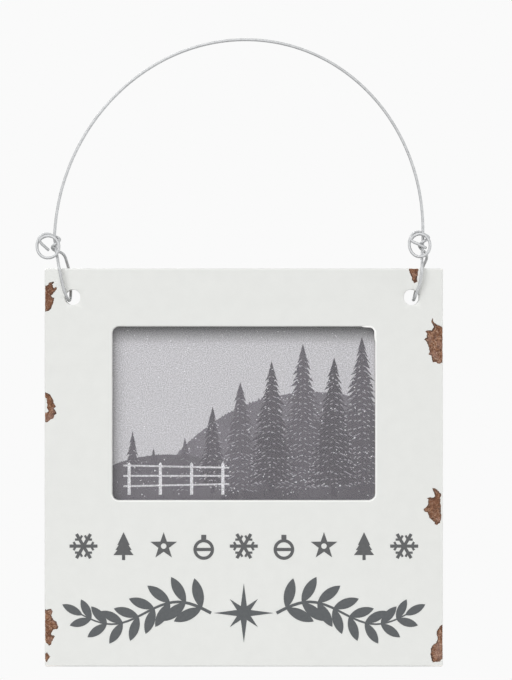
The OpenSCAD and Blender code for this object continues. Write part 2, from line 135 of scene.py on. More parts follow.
# Paint with its chips
# Off-white satin paint lies on the face, the four sides and the window's edge. It was knocked off in
# chips along both sides and at the top, down to the fibreboard, and their edges broke off ragged.
coat_t = 0.25 * MM
corner_r, edge_r, lip_r = 0.6 * MM, 0.45 * MM, 0.36 * MM
paint_low, paint_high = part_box("paint_coat")
cover_low, cover_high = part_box("clear_cover")
window_w, window_h, window_r = 75.5 * MM, 49.9 * MM, 1.9 * MM
window_mid = Vector((0, 0, (cover_low.z + cover_high.z) / 2))
pocket_play, pocket_r = 0.2 * MM, 1.3 * MM
holes = [Vector((paint_low.x + 8 * MM, 0, paint_high.z - 8.3 * MM)),
         Vector((paint_high.x - 9 * MM, 0, paint_high.z - 8.3 * MM))]
hole_r, hole_ease = 2.25 * MM, 0.15 * MM
# Outlines in mm, [inward from the edge, down from the top edge]
left_chips = [
    [[0, 5.4], [0.9, 4.8], [1.4, 4.2], [2.4, 3.8], [2.7, 4.1], [2.3, 4.6], [2.6, 5.9], [3, 5.5],
     [3.6, 5.5], [3.3, 6.2], [1.9, 7.8], [2.1, 8.3], [2.9, 8.6], [2.4, 9.8], [1.8, 11.6], [1.2, 12.2],
     [0, 12.8]],
    [[0, 35.5], [1, 35.8], [1.9, 36.8], [2.7, 38.8], [3.2, 39.6], [2.6, 40.3], [3.5, 41.6], [2.7, 42.2],
     [2.6, 43], [1.7, 43.4], [0.7, 44.1], [0, 44.1]],
    [[0, 97.5], [0.5, 98], [1.7, 97.8], [2.3, 98.4], [2, 99.5], [2.1, 100.2], [2.6, 101], [3.3, 101.5],
     [3.9, 103], [3.5, 103.6], [2.5, 103.7], [1.9, 105.1], [2.9, 105.7], [2.4, 106.3], [1.9, 107.8],
     [1.3, 108.4], [0.5, 107.4], [0, 106.7]],
    [[0, 111.2], [0.7, 110.3], [1.5, 111.5], [0.6, 113], [0, 112.4]]]
right_chips = [
    [[0, 17], [1.2, 16.4], [2.4, 15.7], [2.7, 15], [3.1, 14.3], [3.4, 15.4], [3, 15.8], [2.6, 17],
     [3.4, 17.8], [4.2, 17.8], [5.1, 18.1], [4.4, 18.7], [4.6, 19.7], [5.3, 20.4], [4.5, 21.3],
     [4.1, 23], [3.7, 23.9], [4.2, 24.7], [3.3, 25.1], [2.9, 27], [2, 26.9], [1.5, 27.3], [0.8, 27.3],
     [0, 26.7]],
    [[0, 101.9], [1, 102.8], [1.8, 104.1], [1.5, 105.5], [1.7, 107.1], [3.2, 108.6], [3.6, 110.4],
     [3.2, 112.5], [2.8, 113], [1, 112.9], [0.4, 111.9], [0, 111.6]]]
right_inner_chip = [
    [3.2, 63], [2.3, 63], [1.1, 64], [0.6, 65.1], [0.9, 65.9], [0.6, 66.9], [0.6, 72], [0.9, 73],
    [1.8, 73.6], [2.3, 73.5], [2.3, 72.9], [3.8, 71.7], [4.3, 70], [5.1, 69.9], [5.5, 69.3],
    [4.5, 68.1], [4.2, 67.4], [4.2, 66.4], [4.8, 66], [3.8, 65.7], [2.8, 65.9], [2.3, 65.3], [2.6, 64.4]]
# A flake of paint that still clings to the edge inside the second of the left chips
left_flake = [[0, 37], [0.5, 37.5], [0.72, 38.1], [0.5, 38.6], [0.8, 39.2], [0.62, 39.9], [0.95, 40.5],
              [1.15, 41], [0.8, 41.3], [0, 41.4]]
# The same, [down from the top edge, along from the left edge]
top_chip = [[0, 107.4], [2.6, 107], [3.8, 106.9], [4.2, 106], [3.3, 105.4], [2.6, 105.5], [1.3, 104.8],
            [0, 104.4]]


def new_piece(name, mesh):
    """A mesh as an object at the origin"""
    piece = bpy.data.objects.new(name, mesh)
    bpy.context.scene.collection.objects.link(piece)
    return piece


def piece_of(name, shape):
    """A bmesh shape as an object at the origin. The shape is used up."""
    mesh = bpy.data.meshes.new(name)
    shape.to_mesh(mesh)
    shape.free()
    return new_piece(name, mesh)


def rounded_outline(w, h, r, steps=6):
    """A rounded rectangle as points [x, z] about its middle"""
    return [Vector((sx * (w / 2 - r) + r * math.cos(a), sz * (h / 2 - r) + r * math.sin(a)))
            for quarter, (sx, sz) in enumerate([(1, 1), (-1, 1), (-1, -1), (1, -1)])
            for a in [math.radians(90 * (quarter + i / steps)) for i in range(steps + 1)]]


def loft(middle, rings):
    """A closed shape through rings of (outline, y), from the front to the back"""
    shape = bmesh.new()
    loops = [[shape.verts.new((middle.x + p.x, y, middle.z + p.y)) for p in outline] for outline, y in rings]
    for front, back in zip(loops, loops[1:]):
        for i, vert in enumerate(front):
            shape.faces.new((front[i - 1], back[i - 1], back[i], vert))
    shape.faces.new(reversed(loops[0]))
    shape.faces.new(loops[-1])
    bmesh.ops.recalc_face_normals(shape, faces=shape.faces)
    return shape


def eased_block(name, low, high, corner, edge, back):
    """A slab with round corners and eased front edges, cut by a grid so that no face is long and thin"""
    size = high - low
    rings = []
    steps = 6
    for i in range(steps + 1):
        a = math.radians(90 * i / steps)
        inset = edge * (1 - math.sin(a))
        rings.append((rounded_outline(size.x - 2 * inset, size.z - 2 * inset, corner - inset),
                      low.y + edge * (1 - math.cos(a))))
    shape = loft((low + high) / 2, rings + [(rounded_outline(size.x, size.z, corner), back)])
    cells = 19
    for axis in (Vector((1, 0, 0)), Vector((0, 0, 1))):
        for i in range(1, cells):
            bmesh.ops.bisect_plane(shape, geom=shape.verts[:] + shape.edges[:] + shape.faces[:],
                                   plane_co=low.lerp(high, i / cells), plane_no=axis)
    return piece_of(name, shape)


def window_block(name, grow, front, back, lip=0.0):
    """The window's opening as a solid, its front flared to a round lip"""
    def ring(spread, y):
        return rounded_outline(window_w + 2 * spread, window_h + 2 * spread, window_r + spread), y

    rings = [ring(grow + lip, front - MM)]
    steps = 5
    for i in range(steps + 1 if lip else 0):
        a = math.radians(90 * i / steps)
        rings.append(ring(grow + lip * (1 - math.sin(a)), front + lip * (1 - math.cos(a))))
    return piece_of(name, loft(window_mid, rings + [ring(grow, back)]))


def disc_outline(r, steps=48):
    """A circle as points [x, z] about its middle"""
    return [Vector((r * math.cos(2 * math.pi * i / steps), r * math.sin(2 * math.pi * i / steps)))
            for i in range(steps)]


def cut(piece, tools):
    """The piece with the tools cut out of it, as plain mesh. The tools are used up."""
    for tool in tools:
        step = piece.modifiers.new("cut", "BOOLEAN")
        step.object, step.operation, step.solver = tool, "DIFFERENCE", "MANIFOLD"
    mesh = bpy.data.meshes.new_from_object(piece.evaluated_get(bpy.context.evaluated_depsgraph_get()))
    piece.modifiers.clear()
    shape = bmesh.new()
    shape.from_mesh(mesh)
    bmesh.ops.triangulate(shape, faces=shape.faces)
    shape.to_mesh(mesh)
    shape.free()
    piece.data = mesh
    for tool in tools:
        bpy.data.objects.remove(tool)
    return piece


def shaded(piece, angle):
    """Smooth shading that keeps edges sharper than an angle, with flat faces kept flat"""
    piece.data.shade_smooth()
    piece.data.set_sharp_from_angle(angle=math.radians(angle))
    even = piece.modifiers.new("even", "WEIGHTED_NORMAL")
    even.keep_sharp = True


class Chip:
    """A chip in the paint. Its ragged outline is laid out flat in mm, as [inward from where the board's
    edge starts to turn, along the edge], and filled with points."""
    bend_r = (edge_r - coat_t) / MM
    bend_length = bend_r * math.pi / 2

    def __init__(self, edge, outline, seed):
        self.edge = edge
        draws = random.Random(seed)
        points = [Vector((p[0] - edge_r / MM, p[1])) for p in outline if p[0] > edge_r / MM]
        if outline[0][0] == 0:
            points += self.over_the_edge(outline[-1][1], outline[0][1], draws)
        rim = self.ragged(points, seed)
        only_inside, nearness = 1, 1e-5
        found = geometry.delaunay_2d_cdt(rim + self.filling(rim, draws), [], [list(range(len(rim)))],
                                         only_inside, nearness)
        self.points, self.faces = found[0], found[2]
        self.from_rim = self.rim_distance(self.points, rim)

    def over_the_edge(self, start, end, draws):
        """The part of an outline that goes over the edge and down the board's side, back to its start"""
        spacing, reach = 1.1, 2.3
        count = max(4, round(abs(end - start) / spacing))
        points = []
        for i in range(count + 1):
            bulge = math.sin(math.pi * (i + 0.25) / (count + 0.5)) ** 0.5
            down = reach * bulge * draws.uniform(0.55, 1)
            points.append(Vector((-self.bend_length - down, start + (end - start) * i / count)))
        return points

    @staticmethod
    def ragged(points, seed):
        """A closed line through the points, cut into short steps and shifted by noise in three sizes"""
        step_length = 0.16
        line = []
        for a, b in zip(points, points[1:] + points[:1]):
            steps = max(1, round((b - a).length / step_length))
            line += [a.lerp(b, i / steps) for i in range(steps)]
        for p in line:
            shift = Vector((0, 0))
            for cells, amount in ((0.9, 0.2), (2.3, 0.13), (6.0, 0.05)):
                shift += amount * noise.noise_vector(Vector((p.x * cells, p.y * cells, seed * 7.7))).xy
            p += shift
        return line

    def filling(self, rim, draws):
        """Points in a loose triangular grid over the outline, none of them near it"""
        pitch, row_pitch, clear = 0.24, 0.24 * 0.87, 0.12
        low = Vector((min(p.x for p in rim), min(p.y for p in rim)))
        high = Vector((max(p.x for p in rim), max(p.y for p in rim)))
        grid = [Vector((low.x + (i + 0.5 * (j % 2) + draws.uniform(-0.2, 0.2)) * pitch,
                        low.y + (j + draws.uniform(-0.2, 0.2)) * row_pitch))
                for i in range(int((high.x - low.x) / pitch) + 1)
                for j in range(int((high.y - low.y) / row_pitch) + 1)]
        return [p for p, gap in zip(grid, self.rim_distance(grid, rim)) if gap > clear]

    @staticmethod
    def rim_distance(points, rim):
        """How far each point lies from the nearest point of the outline"""
        gaps = np.array(points)[:, None, :] - np.array(rim)[None, :, :]
        return np.sqrt((gaps ** 2).sum(2).min(1))

    def in_place(self, p, height):
        """A laid-out point at a height over the fibreboard, in mm, as a place on the board, in metres"""
        if p.x >= 0:
            inward, deep = self.bend_r + p.x, -height
        elif p.x > -self.bend_length:
            inward = self.bend_r - (self.bend_r + height) * math.sin(-p.x / self.bend_r)
            deep = self.bend_r - (self.bend_r + height) * math.cos(-p.x / self.bend_r)
        else:
            inward, deep = -height, self.bend_r - p.x - self.bend_length
        y = core_low.y + deep * MM
        if self.edge == "left":
            return Vector((core_low.x + inward * MM, y, paint_high.z - p.y * MM))
        if self.edge == "right":
            return Vector((core_high.x - inward * MM, y, paint_high.z - p.y * MM))
        return Vector((paint_low.x + p.y * MM, y, core_high.z - inward * MM))

    def solid(self, name, layers, top=None):
        """A closed slab over the chip, through layers of (height, spread of the outline) in mm from the
        lowest to the highest. The function top gives the highest layer its height at each point. The
        attribute "rim" holds each point's distance from the outline, in mm."""
        sides = {(face[i - 1], vert) for face in self.faces for i, vert in enumerate(face)}
        # The way out of the chip at each point of its outline, found from the sides that one face has
        away = {}
        for face in self.faces:
            for i, vert in enumerate(face):
                if (vert, face[i - 1]) not in sides:
                    along = self.points[vert] - self.points[face[i - 1]]
                    away[vert] = away[face[i - 1]] = Vector((along.y, -along.x)).normalized()
        shape = bmesh.new()
        from_rim = shape.verts.layers.float.new("rim")
        rings = []
        for layer in layers:
            height, spread = layer
            ring = {}
            for i, p in enumerate(self.points):
                if i not in away and layer not in (layers[0], layers[-1]):
                    continue
                at = Vector(p)
                if i in away:
                    uneven = 0.6 + 0.8 * abs(noise.noise(Vector((p.x * 2.1, p.y * 2.1, height * 9))))
                    at += away[i] * spread * uneven
                level = top(p, i in away) if top and layer == layers[-1] else height
                ring[i] = shape.verts.new(self.in_place(at, level))
                ring[i][from_rim] = self.from_rim[i]
            rings.append(ring)
        for face in self.faces:
            shape.faces.new([rings[-1][v] for v in face])
            shape.faces.new([rings[0][v] for v in reversed(face)])
        for face in self.faces:
            for a, b in zip(face, face[1:] + face[:1]):
                if (b, a) not in sides:
                    for low, high in zip(rings, rings[1:]):
                        shape.faces.new((high[a], low[a], low[b], high[b]))
        # Points of the grid outside the outline have no faces.
        for vert in [v for v in shape.verts if not v.link_faces]:
            shape.verts.remove(vert)
        bmesh.ops.recalc_face_normals(shape, faces=shape.faces)
        return piece_of(name, shape)


# The noise has a seed, so that the chips' edges come out the same in every run.
noise.seed_set(12)
chips = [Chip("left", outline, i) for i, outline in enumerate(left_chips)]
chips += [Chip("right", outline, 4 + i) for i, outline in enumerate(right_chips + [right_inner_chip])]
chips.append(Chip("top", top_chip, 7))
# The paint breaks off in uneven steps, from the fibreboard up to its face, in mm (height, spread)
break_steps = [(-0.08, 0.0), (0.0, 0.0), (0.08, 0.0075), (0.1, 0.025), (0.17, 0.035), (0.21, 0.055),
               (0.25, 0.09), (0.8, 0.105)]
flake_steps = [(-0.2, 0.05), (0.0, 0.05), (0.25, 0.0), (1.2, -0.025)]

# The coat is a block with the core, the window, the pocket, the holes and the chips cut out of it.
core_back = core_high.y + 2 * MM
core_hole = [(disc_outline(hole_r + coat_t), y) for y in (core_low.y - MM, core_back)]
core = cut(eased_block("core", core_low, core_high, corner_r - coat_t, edge_r - coat_t, core_high.y + MM),
           [window_block("window", coat_t, core_low.y, core_back)]
           + [piece_of("hole", loft(hole, core_hole)) for hole in holes])
pocket_outline = rounded_outline(cover_high.x - cover_low.x + 2 * pocket_play,
                                 cover_high.z - cover_low.z + 2 * pocket_play, pocket_r)
pocket = piece_of("pocket", loft(window_mid, [(pocket_outline, y) for y in (cover_low.y, paint_high.y + MM)]))
eased_hole = [(disc_outline(hole_r + spread), y) for spread, y in (
    (hole_ease, paint_low.y - MM), (hole_ease, paint_low.y), (0.04 * MM, paint_low.y + 0.04 * MM),
    (0.0, paint_low.y + hole_ease), (0.0, paint_high.y + MM))]
breaks = [chip.solid("break", break_steps) for chip in chips]
breaks[1] = cut(breaks[1], [Chip("left", left_flake, 21).solid("flake", flake_steps)])
paint = cut(eased_block("painted_coat", paint_low, paint_high, corner_r, edge_r, paint_high.y),
            [core, window_block("window", 0.0, paint_low.y, core_back, lip_r), pocket]
            + [piece_of("hole", loft(hole, eased_hole)) for hole in holes] + breaks)
shaded(paint, 32)


def paint_bead(name, from_turn, to_turn, thick):
    """A bead where the paint ran together, along the rim of the window's corner between two turns in
    degrees. Past the corner's own quarter turn it follows the straight rim."""
    corner = window_mid + Vector((window_w / 2 - window_r, 0, window_h / 2 - window_r))
    shape = bmesh.new()
    around, along = 12, 36
    rings = []
    for i in range(along + 1):
        share = i / along
        turn = from_turn + (to_turn - from_turn) * share
        held = math.radians(min(max(turn, 0), 90))
        out = Vector((math.cos(held), 0, math.sin(held)))
        past = Vector((min(90 - turn, 0), 0, min(turn, 0)))
        middle = corner + out * (window_r - 0.03 * MM) + past * window_r * math.pi / 180
        middle.y = paint_low.y + 0.18 * MM
        # Thin at both ends, and uneven between them
        r = thick * max(0.04, math.sin(math.pi * share)) ** 0.6 * (0.85 + 0.25 * math.sin(9 * share))
        rings.append([shape.verts.new(middle + r * (math.cos(a) * out + Vector((0, math.sin(a), 0))))
                      for a in [2 * math.pi * j / around for j in range(around)]])
    for first, second in zip(rings, rings[1:]):
        for j in range(around):
            shape.faces.new((first[j - 1], second[j - 1], second[j], first[j]))
    shape.faces.new(rings[0])
    shape.faces.new(reversed(rings[-1]))
    bmesh.ops.recalc_face_normals(shape, faces=shape.faces)
    return piece_of(name, shape)


# Two marks on the paint, 1 where they hold and 0 elsewhere: "broken" where a chip's edge goes down
# through it, paler there and whitened further as a painted highlight on the broken edge, and "lip" on
# the window's lip below and at the right, whitened as a painted highlight where the lamp catches it
chips_reach, chips_deep, skin = 5.7 * MM, 4 * MM, 0.015 * MM
broken = paint.data.attributes.new("broken", "FLOAT", "POINT")
lip = paint.data.attributes.new("lip", "FLOAT", "POINT")
for vert in paint.data.vertices:
    p = vert.co
    inward = min(p.x - paint_low.x, paint_high.x - p.x, paint_high.z - p.z)
    deep = p.y - paint_low.y
    below = min(inward, deep)
    if inward < edge_r and deep < edge_r:
        below = edge_r - math.hypot(edge_r - inward, edge_r - deep)
    if below > skin and inward < chips_reach and deep < chips_deep:
        broken.data[vert.index].value = 1.0
    across, up = p.x - window_mid.x, p.z - window_mid.z
    past_side, past_end = abs(across) - window_w / 2, abs(up) - window_h / 2
    from_window = math.hypot(max(past_side + window_r, 0), max(past_end + window_r, 0)) - window_r
    below_or_right = max(across - window_w / 2, -up - window_h / 2) > -1.5 * MM
    if 0 < from_window < lip_r and 0.01 * MM < deep < 0.3 * MM and below_or_right:
        lip.data[vert.index].value = 1.0

satin_paint, shader, tree = new_finish("off_white_paint", 0.42)
rolled = grain(tree, 260, detail=4.0)
orange_peel = grain(tree, 1300, detail=2.0)
ground = tones(tree, rolled, (0.25, (229, 230, 227)), (0.75, (232, 233, 230)))
at_pale_lit_break = put_node(tree, "ShaderNodeAttribute", attribute_name="broken").outputs["Fac"]
# The broken edge is paler paint, whitened further as a painted highlight
ground = blended(tree, at_pale_lit_break, ground, colour_of(255, 250, 244))
# The lip below and at the right is whitened as a painted highlight, where the lamp catches it
at_lit_lip = put_node(tree, "ShaderNodeAttribute", attribute_name="lip").outputs["Fac"]
tree.links.new(blended(tree, at_lit_lip, ground, colour_of(254, 254, 252)), shader.inputs["Base Color"])
relief(tree, shader, blended(tree, 0.75, rolled, orange_peel), 0.008 * MM)
wear(paint, satin_paint)
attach(paint, "frame")
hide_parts("paint_coat")

bead = paint_bead("paint_bead", -80, 150, 0.38 * MM)
bead.data.shade_smooth()
# The bead is whiter than the coat: thick paint, and a painted highlight where the lamp catches it
thick_lit_paint, shader, tree = new_finish("thick_lit_paint", 0.25)
tree.links.new(tones(tree, grain(tree, 900), (0.3, (250, 250, 248)), (0.7, (255, 255, 253))),
               shader.inputs["Base Color"])
wear(bead, thick_lit_paint)
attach(bead, "frame")

# Torn fibreboard
# Where a chip came off, it tore the skin off the fibreboard and left a rough bed of lumps. Short loose
# strands lie over it, and a painted shade darkens it along the broken paint.


def torn_height(p, at_rim):
    """The torn fibreboard's height in a chip, in mm: lumps with slanting shreds, sunk at the rim"""
    if at_rim:
        return -0.03
    lump = noise.fractal(Vector((p.x * 0.8, p.y * 0.7, 3.3)), 0.6, 2.3, 6)
    shred = abs(noise.noise(Vector((p.x * 2.6 + p.y * 1.5, p.y * 0.9, 8.1))))
    lowest, highest = 0.03, 0.17
    return min(highest, max(lowest, 0.05 + 0.09 * lump + 0.12 * shred))


def new_scatter(name, **kinds):
    """A geometry tree with a mesh in, more inputs by name and kind, and a mesh out"""
    tree = bpy.data.node_groups.new(name, "GeometryNodeTree")
    for title, kind in {"Mesh": "Geometry", **kinds}.items():
        tree.interface.new_socket(title, in_out="INPUT", socket_type="NodeSocket" + kind)
    tree.interface.new_socket("Mesh", in_out="OUTPUT", socket_type="NodeSocketGeometry")
    return tree, put_node(tree, "NodeGroupInput").outputs, put_node(tree, "NodeGroupOutput").inputs


def drawn(tree, low, high, seed):
    """A random number or vector for each point. The node's vector sockets come before its number's."""
    vector = isinstance(low, tuple)
    first = 0 if vector else 2
    return put_node(tree, "FunctionNodeRandomValue", {first: low, first + 1: high, "Seed": seed},
                    data_type="FLOAT_VECTOR" if vector else "FLOAT").outputs[0 if vector else 1]


def lay_copies(tree, given, made, copies, mark, values):
    """The copies, each with its own value of a mark, join the given mesh and take the given finish."""
    marked = put_node(tree, "GeometryNodeStoreNamedAttribute",
                      {"Geometry": copies, "Name": mark, "Value": values}, domain="INSTANCE").outputs[0]
    plain = put_node(tree, "GeometryNodeRealizeInstances", {"Geometry": marked}).outputs[0]
    both = put_node(tree, "GeometryNodeJoinGeometry")
    tree.links.new(plain, both.inputs[0])
    tree.links.new(given["Mesh"], both.inputs[0])
    dressed = put_node(tree, "GeometryNodeSetMaterial",
                       {"Geometry": both.outputs[0], "Material": given["Finish"]}).outputs[0]
    tree.links.new(dressed, made["Mesh"])


def scattered(piece, tree, **values):
    """The piece as the plain mesh that a geometry tree makes of it"""
    step = piece.modifiers.new("scattered", "NODES")
    step.node_group = tree
    for socket in tree.interface.items_tree:
        if socket.in_out == "INPUT" and socket.name in values:
            step[socket.identifier] = values[socket.name]
    piece.data = bpy.data.meshes.new_from_object(piece.evaluated_get(bpy.context.evaluated_depsgraph_get()))
    piece.modifiers.remove(step)


beds = bmesh.new()
for chip in chips:
    bed = chip.solid("bed", [(-0.1, 0.0), (0.0, 0.03)], top=torn_height)
    beds.from_mesh(bed.data)
    bpy.data.objects.remove(bed)
torn = piece_of("torn_fibreboard", beds)

torn_board, shader, tree = new_finish("torn_fibreboard", 0.9)
clumps = grain(tree, 1100, detail=8.0, rough=0.75)
streaks = grain(tree, 1500, stretch=(1, 1, 0.2), turn=(0, math.radians(38), 0), detail=6.0)
flecks = grain(tree, 2300, detail=5.0, rough=0.75)
patches = grain(tree, 260, detail=3.0)
ground = tones(tree, clumps, (0.36, (66, 38, 24)), (0.46, (111, 72, 50)), (0.54, (142, 99, 74)),
               (0.64, (181, 138, 110)))
ground = blended(tree, ranged(tree, streaks, 0.54, 0.66, 0.0, 0.6), ground, colour_of(182, 134, 98))
ground = blended(tree, ranged(tree, flecks, 0.56, 0.64, 0.0, 0.9), ground, colour_of(221, 191, 170))
ground = blended(tree, ranged(tree, flecks, 0.38, 0.46, 0.8, 0.0), ground, colour_of(62, 38, 28))
from_rim = put_node(tree, "ShaderNodeAttribute", attribute_name="rim").outputs["Fac"]
shade_from_rim = put_node(tree, "ShaderNodeMath", {0: from_rim, 1: ranged(tree, clumps, 0.35, 0.65, -0.25, 0.3)},
                      operation="ADD").outputs[0]
strand = put_node(tree, "ShaderNodeAttribute", attribute_name="strand").outputs["Fac"]
strand_tone = tones(tree, strand, (0.1, (96, 60, 42)), (0.4, (150, 106, 80)), (0.7, (186, 142, 108)),
                    (1, (222, 195, 175)))
ground = blended(tree, ranged(tree, strand, 0.02, 0.08), ground, strand_tone)
ground = blended(tree, ranged(tree, patches, 0.38, 0.5, 0.4, 0.0), ground, colour_of(112, 68, 46))
ground = blended(tree, ranged(tree, patches, 0.52, 0.62, 0.0, 0.4), ground, colour_of(172, 140, 128))
# Painted shade along the broken paint, darkest at narrow tips where the paint closes in
ground = blended(tree, ranged(tree, shade_from_rim, 0.05, 0.45, 0.85, 0.0), ground, colour_of(72, 56, 50))
tree.links.new(ground, shader.inputs["Base Color"])
relief(tree, shader, blended(tree, 0.5, clumps, flecks), 0.25 * MM)

# Short bent threads lie all ways over the beds. A thread's own sizes are shares of its length.
strands_per_m2, strand_length = 9e6, 0.75 * MM
strand_tree, given, made = new_scatter("torn_strands", Number="Float", Length="Float", Seed="Int",
                                       Finish="Material")
points = put_node(strand_tree, "GeometryNodeDistributePointsOnFaces",
                  {"Mesh": given["Mesh"], "Density": given["Number"], "Seed": given["Seed"]}).outputs
bend = put_node(strand_tree, "GeometryNodeCurvePrimitiveBezierSegment",
                {"Resolution": 4, "Start": (-0.5, 0, -0.03), "Start Handle": (-0.2, 0.16, 0.06),
                 "End Handle": (0.2, -0.12, 0.06), "End": (0.5, 0.05, -0.03)}).outputs[0]
section = put_node(strand_tree, "GeometryNodeCurvePrimitiveCircle",
                   {"Resolution": 4, "Radius": 0.045}).outputs[0]
thread = put_node(strand_tree, "GeometryNodeCurveToMesh",
                  {"Curve": bend, "Profile Curve": section, "Fill Caps": True}).outputs[0]
tilt = drawn(strand_tree, (0, -0.08, 0), (0, 0.08, math.pi), 3)
turn = put_node(strand_tree, "FunctionNodeRotateRotation",
                {"Rotation": points["Rotation"], "Rotate By": tilt}, rotation_space="LOCAL").outputs[0]
size = put_node(strand_tree, "ShaderNodeMath", {0: given["Length"], 1: drawn(strand_tree, 0.45, 1.3, 4)},
                operation="MULTIPLY").outputs[0]
strands = put_node(strand_tree, "GeometryNodeInstanceOnPoints",
                   {"Points": points["Points"], "Instance": thread, "Rotation": turn,
                    "Scale": size}).outputs[0]
lay_copies(strand_tree, given, made, strands, "strand", drawn(strand_tree, 0.1, 1.0, 5))
scattered(torn, strand_tree, Number=strands_per_m2, Length=strand_length, Seed=3, Finish=torn_board)
# No strand stands out as far as the paint's own faces.
proud = Vector((1, 1, 1)) * 0.22 * MM
for vert in torn.data.vertices:
    for axis in range(3):
        vert.co[axis] = min(max(vert.co[axis], (core_low - proud)[axis]), (core_high + proud)[axis])
shaded(torn, 50)
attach(torn, "frame")

# Printed ornament
# A line of small motifs and two sprigs about a star are screen printed on the face, in dark grey ink
# that is a little bluer in the lower line. The film is thin and flat, mottled where the screen laid it on.
for name, dark, pale in (("motif_row", (82, 83, 84), (91, 92, 93)),
                         ("sprig_row", (79, 82, 84), (89, 92, 94))):
    face_ink, shader, tree = new_finish(f"{name}_ink", 0.62)
    film = grain(tree, 1300, detail=4.0)
    pinholes = grain(tree, 5200, detail=2.0)
    ground = tones(tree, film, (0.3, dark), (0.7, pale))
    ground = blended(tree, ranged(tree, pinholes, 0.72, 0.78, 0.0, 0.35), ground, colour_of(150, 150, 150))
    tree.links.new(ground, shader.inputs["Base Color"])
    relief(tree, shader, film, 0.015 * MM)
    wear(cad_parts[name], face_ink)

# Print behind the window
# The sample print is a grey picture of snowy hills and firs behind a rail fence, on thin card, loose in
# its pocket. Each field of ink lies a hair in front of the one behind it, and all are coarse with grain.
card_low, card_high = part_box("insert_card")
card_mid = (card_low + card_high) / 2
card_half_w, card_half_h = (card_high.x - card_low.x) / 2 / MM, (card_high.z - card_low.z) / 2 / MM
film_t = 0.01 * MM
# Each hill in mm, [across, up, radius], with its tone from 0, dark, to 1, pale, and its wood's height
hills = [([20, -46, 52], 0.8, 1.4), ([-22, -55, 43], 0.45, 0.9), ([44, -60, 62], 0.2, 0.4)]
# Each fir in mm, [across, foot, height], with its tone, and the far ones first
firs = [([34, -24, 46], 0.5), ([17, -25, 45], 0.65), ([-1, -25, 34], 0.75), ([-17, -24, 17], 0.9),
        ([26, -24, 40], 0.2), ([8, -23, 38], 0.25), ([-9, -23, 25], 0.35), ([-32, -18, 13], 0.6),
        ([-26, -19, 9], 0.8)]


def on_card(x, z):
    """A point held to the card"""
    return min(max(x, -card_half_w), card_half_w), min(max(z, -card_half_h), card_half_h)


def inked(name, fields):
    """Thin flat fields, each (outline [x, z] in mm about the card's middle, layer, tone)"""
    shape = bmesh.new()
    shade = shape.verts.layers.float.new("tone")
    for outline, layer, tone in fields:
        y = card_low.y - film_t * layer
        face = shape.faces.new([shape.verts.new((card_mid.x + x * MM, y, card_mid.z + z * MM))
                                for x, z in [on_card(*p) for p in outline]])
        grown = bmesh.ops.extrude_face_region(shape, geom=[face])["geom"]
        back = [v for v in grown if isinstance(v, bmesh.types.BMVert)]
        for vert in back:
            vert.co.y += film_t
        for vert in back + list(face.verts):
            vert[shade] = tone
    bmesh.ops.triangulate(shape, faces=shape.faces)
    bmesh.ops.recalc_face_normals(shape, faces=shape.faces)
    return piece_of(name, shape)


def hill_outline(hill, seed, wood_h):
    """A round hill inside the card's edges, with a far wood of ragged height on its ridge"""
    x, z, r = hill
    draws = random.Random(seed)
    reach = math.sqrt(r * r - (card_half_h + z) ** 2)
    left, right = max(-card_half_w, x - reach), min(card_half_w, x + reach)
    steps = 150
    ridge = []
    for i in range(steps + 1):
        at = left + (right - left) * i / steps
        up = z + math.sqrt(max(0, r * r - (at - x) ** 2))
        thick = max(0, noise.noise(Vector((at * 0.14, seed, 0))) + 0.3)
        spike = wood_h * (i % 2) * draws.uniform(0.2, 1) * thick
        ridge.append((at, max(up + spike, -card_half_h + 0.01)))
    return [(left, -card_half_h)] + ridge + [(right, -card_half_h)]


def fir_fields(fir, draws):
    """A fir with ragged boughs, from its tip down one side and up the other, and the snow on its boughs"""
    x, foot, height = fir
    boughs = max(6, round(height / 1.9))
    step = 0.92 * height / boughs
    tuft = 1.3
    sides, snow = [], []
    for side in (1, -1):
        edge = []
        for i in range(1, boughs + 1):
            reach = height * 0.21 * (i / boughs) ** 0.8 * draws.uniform(0.8, 1.12)
            level = foot + height - step * i
            edge.append((x + side * reach, level - step * draws.uniform(0.15, 0.5)))
            edge.append((x + side * reach * draws.uniform(0.4, 0.62),
                         level + step * draws.uniform(0.05, 0.25)))
            for start in range(int(reach / tuft) if i > 2 else 0):
                near = (start + draws.uniform(0.1, 0.4)) * tuft
                far = min(near + draws.uniform(0.6, 1.25), reach * 0.93)
                high = level + step * draws.uniform(-0.1, 0.5)
                laid = (0.09 + 0.004 * height) * draws.uniform(0.6, 1.2)
                snow.append([(x + side * near, high), (x + side * far, high - 0.45 * (far - near)),
                             (x + side * (0.4 * near + 0.6 * far), high + laid - 0.2 * (far - near)),
                             (x + side * near, high + 0.7 * laid)])
        sides.append(edge)
    half, lowest = height * 0.022, foot + height * 0.08
    trunk = [(x + half, lowest), (x + half, foot), (x - half, foot), (x - half, lowest)]
    return [(x, foot + height)] + sides[0] + trunk + sides[1][::-1], snow


def print_grey(level):
    """A grey of the print, a little violet where it is dark"""
    return level + 2 + 0.03 * (200 - level), level - 1, level + 3 + 0.04 * (200 - level)


def print_finish(name, dark, pale):
    """Grey print ink with coarse grain, between two greys by the field's tone"""
    material, shader, tree = new_finish(name, 0.55)
    tone = put_node(tree, "ShaderNodeAttribute", attribute_name="tone").outputs["Fac"]
    mist = grain(tree, 70, detail=3.0)
    dots = grain(tree, 3300, detail=2.0, rough=0.7)
    misted = put_node(tree, "ShaderNodeMath", {0: tone, 1: ranged(tree, mist, 0.3, 0.7, -0.14, 0.14)},
                      operation="ADD").outputs[0]
    ground = tones(tree, misted, (0, print_grey(dark)), (1, print_grey(pale)))
    speckled = blended(tree, 1.0, ground, ranged(tree, dots, 0.3, 0.7, 0.46, 1.52), "MULTIPLY")
    tree.links.new(speckled, shader.inputs["Base Color"])
    return material


